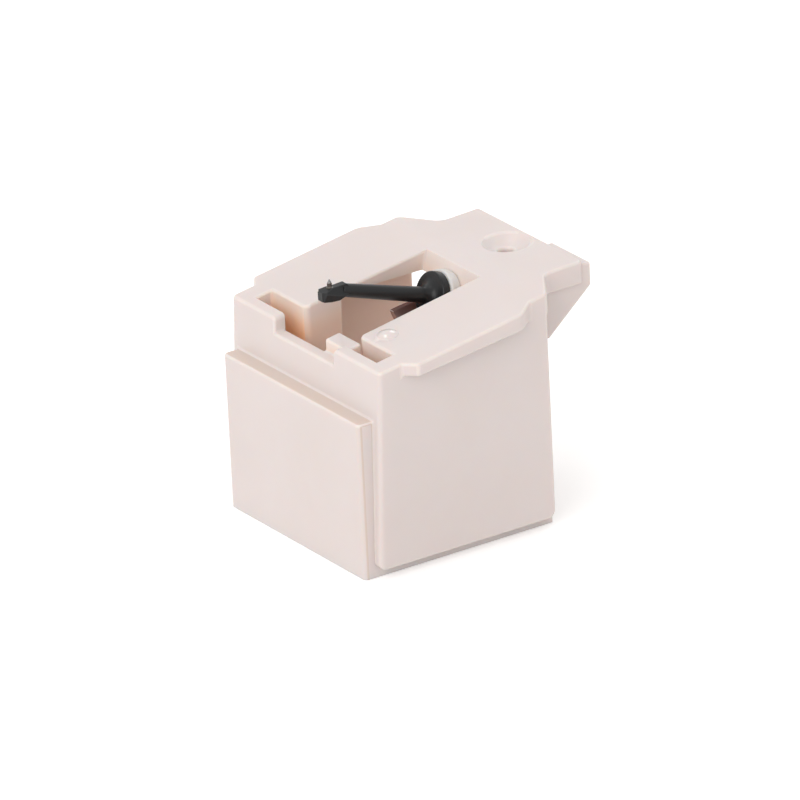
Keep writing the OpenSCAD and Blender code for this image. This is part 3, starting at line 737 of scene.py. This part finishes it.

# %% [markdown]
# ### Painted shade, and the pip
# The painted shade of the ledge and that of the bore are laid over the cream in turn. The pip is a round mark
# of the mould, probably where the plastic entered it. It shines more than the rest, so it gets a coat and its
# roughness is lowered.
# A material of its own would do as well, but its border would then need edges in the mesh, and the grain
# would break off there.

# %% Lay the marks over the cream
LEDGE_SHADE_COLOUR, BORE_SHADE_COLOUR = (0.68, 0.575, 0.51, 1), (0.12, 0.05, 0.042, 1)
# Painted shade on the ledge and on the front plate's narrow sides.
shaded = mix(tree, attribute(tree, "ledge_shade"), glowing, LEDGE_SHADE_COLOUR)
# Painted shade: the marked bore and lip end are darkened to a dark brown, as deep in shadow.
bore_shade_amount = maths(tree, "MULTIPLY", attribute(tree, "bore_shade"), 0.95)
tree.links.new(mix(tree, bore_shade_amount, shaded, BORE_SHADE_COLOUR), surface.inputs["Base Color"])
polish = maths(tree, "MULTIPLY", attribute(tree, "pip_gloss"), -0.26)
tree.links.new(maths(tree, "ADD", marks.outputs["Roughness"], polish), surface.inputs["Roughness"])
tree.links.new(attribute(tree, "pip_gloss"), surface.inputs["Coat Weight"])
surface.inputs["Coat IOR"].default_value = 1.7
surface.inputs["Coat Roughness"].default_value = 0.11
print(cream.name, "has", len(tree.nodes), "nodes")

# %% [markdown]
# ### Black plastic of the lever
# The lever is a stiff black plastic with a satin skin. It uses the same group as the cream, with more scuffs.
# Its colour is a very dark grey, because nothing real is fully black, and its specular level is lower than
# the default, because on black every reflection shows.

# %% Black plastic
black, tree, surface, marks = surface_of(
    "black_plastic", moulded,
    {"Colour": (0.015, 0.016, 0.017, 1), "Cloud Colour": (0.020, 0.020, 0.021, 1),
     "Edge Highlight Colour": (0.05, 0.05, 0.051, 1), "Edge Highlight Amount": 0.5, "Roughness": 0.32, "Scuffs": 0.25}, bump=3e-6)
surface.inputs["Specular IOR Level"].default_value = 0.3
print(black.name, "has", len(tree.nodes), "nodes")

# %% [markdown]
# ### Gum rubber of the ring
# The ring is a little greyer than the housing. Light goes deep into it for its size, so its scattering has
# more weight than the cream's, over a shorter distance, because the ring is thin.

# %% Gum rubber
gum, tree, surface, marks = surface_of(
    "gum_rubber", rubber,
    {"Colour": (0.68, 0.66, 0.64, 1), "Old Colour": (0.62, 0.57, 0.50, 1),
     "Dust Colour": (0.74, 0.73, 0.72, 1), "Roughness": 0.5}, bump=4e-6)
surface.inputs["Subsurface Weight"].default_value = 0.5
surface.inputs["Subsurface Radius"].default_value = (1.0, 0.8, 0.6)
surface.inputs["Subsurface Scale"].default_value = 0.0003
print(gum.name, "has", len(tree.nodes), "nodes")

# %% [markdown]
# ### Metals
# Four metals share the worked surface. The shank's colour is far darker than steel's, as painted shade, and
# its lines run round it; the magnets are plated grey, the wire is bright drawn steel, and the ferrule is
# brass. One function makes them all, because they differ only in colours, roughness and the stretch of the
# lines.

# %% Metals
def worked(name, colour, tarnish, edge, roughness, stretch, bump=1.5e-6):
    """A metal with lines. stretch squeezes the noise most across the lines."""
    material, tree, surface, marks = surface_of(
        name, metal, {"Colour": colour, "Tarnish Colour": tarnish, "Edge Highlight Colour": edge,
                      "Roughness": roughness, "Stretch": stretch}, bump)
    surface.inputs["Metallic"].default_value = 1.0
    print(material.name, "has", len(tree.nodes), "nodes")
    return material


# The shank's dark colour is painted shade.
drawn = worked("shank_metal", (0.11, 0.085, 0.075, 1), (0.06, 0.045, 0.04, 1), (0.3, 0.26, 0.23, 1), 0.42,
               (1, 1, 8))
plated = worked("plated_magnet", (0.20, 0.20, 0.21, 1), (0.10, 0.09, 0.09, 1), (0.45, 0.45, 0.46, 1), 0.34,
                (1, 6, 1))
steel = worked("wire_steel", (0.56, 0.55, 0.54, 1), (0.32, 0.29, 0.27, 1), (0.6, 0.6, 0.6, 1), 0.28,
               (6, 1, 6))
brass = worked("ferrule_brass", (0.66, 0.47, 0.21, 1), (0.35, 0.22, 0.10, 1), (0.78, 0.62, 0.36, 1), 0.3,
               (1, 6, 6))

# %% [markdown]
# ### Diamond and cement
# The tip is an industrial diamond, brownish and only partly clear, with the high refractive index that makes
# it glitter. The cement is a clear resin that has yellowed and shows the dark block through it. Both could
# be made of full glass, but at a size of a few pixels that gives noise and no more likeness. So each is
# mostly a dark body, and only a part of the light goes through.

# %% Diamond and cement
diamond, tree, surface, marks = surface_of(
    "diamond", moulded,
    {"Colour": (0.12, 0.10, 0.085, 1), "Cloud Colour": (0.09, 0.075, 0.06, 1),
     "Edge Highlight Colour": (0.3, 0.3, 0.3, 1), "Edge Highlight Amount": 0.2, "Roughness": 0.2, "Scuffs": 0.1}, bump=1e-6)
surface.inputs["Transmission Weight"].default_value = 0.3
surface.inputs["IOR"].default_value = 2.42

cement, tree, surface, marks = surface_of(
    "clear_cement", moulded,
    {"Colour": (0.13, 0.11, 0.09, 1), "Cloud Colour": (0.10, 0.085, 0.07, 1),
     "Edge Highlight Colour": (0.2, 0.2, 0.2, 1), "Edge Highlight Amount": 0.2, "Roughness": 0.2, "Scuffs": 0.1}, bump=2e-6)
surface.inputs["Transmission Weight"].default_value = 0.2
surface.inputs["IOR"].default_value = 1.52

# %% [markdown]
# ## Which piece gets which material
# The solids that stay as they came may bring a plain material with them, so this is cleared first. The
# pieces made here have none yet.

# %% Assign the materials
finishes = {"damper_ring": gum, "stylus_shank": drawn, "diamond_tip": diamond, "suspension_wire": steel}
for name, material in finishes.items():
    nodes[name].data.materials.clear()
    nodes[name].data.materials.append(material)
    print(name, "has", material.name)
for piece, material in ((housing_piece, cream), (lever_piece, black), (magnet_pieces[0], plated),
                        (magnet_pieces[1], plated), (ferrule_piece, brass), (cement_piece, cement)):
    piece.data.materials.append(material)
    print(piece.name, "has", material.name)

# %% [markdown]
# ## Floor
# A pale floor keeps the part's soft shadow. Lit as plainly as the part, it would look light grey, and more
# light would burn out the cream. So the floor gives off a little light of its own, but only to rays from the
# camera and to those that a glossy or clear surface sends back: the shadow and the colours stay as they are,
# and the picture runs out to white.

# %% Floor
FLOOR_SIDE = 3.0
FLOOR_GLOW = 0.35
floor_shape = bmesh.new()
bmesh.ops.create_grid(floor_shape, x_segments=1, y_segments=1, size=FLOOR_SIDE / 2)
floor_mesh = bpy.data.meshes.new("floor")
floor_shape.to_mesh(floor_mesh)
floor_shape.free()
floor = bpy.data.objects.new("floor", floor_mesh)
bpy.context.scene.collection.objects.link(floor)
floor_material = bpy.data.materials.new("floor_white")
floor_material.use_nodes = True
tree = floor_material.node_tree
surface = tree.nodes["Principled BSDF"]
surface.inputs["Base Color"].default_value = (0.82, 0.81, 0.80, 1)
surface.inputs["Roughness"].default_value = 0.8
surface.inputs["Emission Color"].default_value = (1, 1, 1, 1)
path = tree.nodes.new("ShaderNodeLightPath")
seen = maths(tree, "ADD", path.outputs["Is Camera Ray"], path.outputs["Is Glossy Ray"])
seen = maths(tree, "ADD", seen, path.outputs["Is Transmission Ray"], clamp=True)
tree.links.new(maths(tree, "MULTIPLY", seen, FLOOR_GLOW), surface.inputs["Emission Strength"])
floor_mesh.materials.append(floor_material)
print("floor:", FLOOR_SIDE, "m wide")

# %% [markdown]
# ## Light
# Product pictures of small parts are lit almost without shadow: a bright room does most of it, and a large
# softbox above the front wall gives the faces their slightly different tones. Two small ones, one high on
# the left and one behind, are there only for the highlights. A sky or a picture of a studio could fill the
# room instead, but a plain white one leaves the cream its own colour.

# %% Light
ROOM_LIGHT = 0.83
world = bpy.data.worlds.new("studio")
bpy.context.scene.world = world
world.use_nodes = True
background = world.node_tree.nodes["Background"]
background.inputs["Color"].default_value = (1, 1, 1, 1)
background.inputs["Strength"].default_value = ROOM_LIGHT


def softbox(name, azimuth, elevation, distance, size, power, aim=Vector((0, 0, 0.006))):
    """A square area light that looks at the middle of the part."""
    lamp = bpy.data.lights.new(name, "AREA")
    lamp.shape = "SQUARE"
    lamp.size = size
    lamp.energy = power
    holder = bpy.data.objects.new(name, lamp)
    bpy.context.scene.collection.objects.link(holder)
    a, e = radians(azimuth), radians(elevation)
    toward = Vector((sin(a) * cos(e), -cos(a) * cos(e), sin(e)))
    holder.location = aim + toward * distance
    holder.rotation_euler = toward.to_track_quat("Z", "Y").to_euler()
    print(name, "gives", power, "W")


softbox("key", azimuth=27, elevation=35, distance=0.5, size=0.35, power=0.82)
softbox("top_glint", azimuth=-76, elevation=71, distance=0.5, size=0.12, power=0.16)
softbox("rear_glint", azimuth=-139, elevation=35, distance=0.5, size=0.10, power=0.11)

# %% [markdown]
# ## Camera
# The camera was fitted to the photograph: edges that are parallel on the part hardly converge there, so the
# lens is long and stands far off, and it is rolled by almost three degrees. Placing it by eye would be
# quicker, but then proportions and tints couldn't be compared place by place. Its place is worked out from
# the angles, in millimetres, round a target in the middle of the housing.

# %% Camera
AZIMUTH, ELEVATION, ROLL = radians(57.13), radians(23.05), radians(-2.83)
FOCAL_PX, PICTURE_PX, SENSOR = 12235, 800, 36
DISTANCE = 600
SIDE_SHIFT, UP_SHIFT = 1.34, 1.46
target = Vector((0, 7 - MIDDLE_Y, 7))
back = Vector((sin(AZIMUTH) * cos(ELEVATION), -cos(AZIMUTH) * cos(ELEVATION), sin(ELEVATION)))
right = Vector((cos(AZIMUTH), sin(AZIMUTH), 0))
up = back.cross(right)
right_rolled = cos(ROLL) * right + sin(ROLL) * up
up_rolled = -sin(ROLL) * right + cos(ROLL) * up
camera_data = bpy.data.cameras.new("camera")
camera_data.lens = FOCAL_PX / PICTURE_PX * SENSOR
camera_data.sensor_width = SENSOR
camera = bpy.data.objects.new("camera", camera_data)
bpy.context.scene.collection.objects.link(camera)
place = target + DISTANCE * back - SIDE_SHIFT * right_rolled - UP_SHIFT * up_rolled
turn = Matrix((right_rolled, up_rolled, back)).transposed().to_4x4()
camera.matrix_world = Matrix.Translation(place * MM) @ turn
bpy.context.scene.camera = camera
bpy.context.scene.view_settings.view_transform = "Standard"
print("lens:", round(camera_data.lens), "mm")
